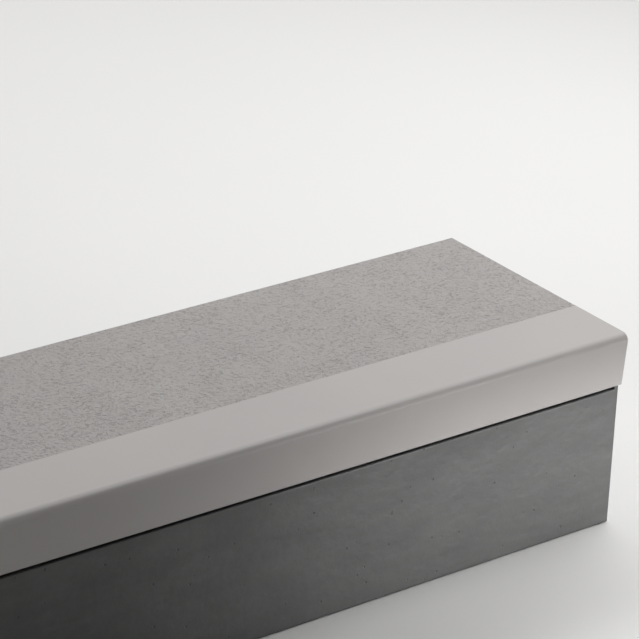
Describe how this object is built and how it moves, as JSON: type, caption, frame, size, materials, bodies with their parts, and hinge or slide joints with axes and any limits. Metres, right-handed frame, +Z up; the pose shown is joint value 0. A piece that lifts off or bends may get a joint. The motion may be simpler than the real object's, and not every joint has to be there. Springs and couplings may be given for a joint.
{
  "type": "archival box",
  "caption": "Long covered-board archival box for prints and cards stood on edge, with a cloth-hinged lid that has a rounded front lip.",
  "frame": {"origin": "under the middle of the closed box, on the surface that it stands on", "axes": "+X along the box to its right-hand end, +Y from the front wall and lip to the hinge, +Z up"},
  "size_m": [0.457, 0.1672, 0.127],
  "materials": {
    "greyboard": "matt, uncoated",
    "dark_covering": "matt, faintly streaked",
    "underside_paper": "matt",
    "corner_tape": "matt",
    "lining_paper": "matt, smooth",
    "hinge_cloth": "plain-woven book cloth",
    "smooth_band": "smooth, satin",
    "grained_sheet": "embossed pebble grain, matt"
  },
  "bodies": {
    "base": {"floor_board": "greyboard", "front_wall_board": "greyboard", "front_facing_board": "greyboard", "back_wall_board": "greyboard", "left_end_board": "greyboard", "right_end_board": "greyboard", "wall_covering": "dark_covering", "underside_sheet": "underside_paper", "corner_tapes": "corner_tape", "front_wall_lining": "lining_paper", "back_wall_lining": "lining_paper", "left_end_lining": "lining_paper", "right_end_lining": "lining_paper", "floor_lining": "lining_paper", "hinge_cloth_wall": "hinge_cloth"},
    "lid": {"lid_top_board": "greyboard", "lid_lip_board": "greyboard", "lid_front_band": "smooth_band", "lid_top_sheet": "grained_sheet", "lid_lining": "lining_paper", "hinge_cloth_lid": "hinge_cloth"}
  },
  "joints": [
    {"name": "lid_hinge", "type": "hinge", "parent": "base", "child": "lid", "pos_m": [0, 0.08358, 0.1239], "axis": [-1, 0, 0], "range_deg": [0, 180]}
  ]
}
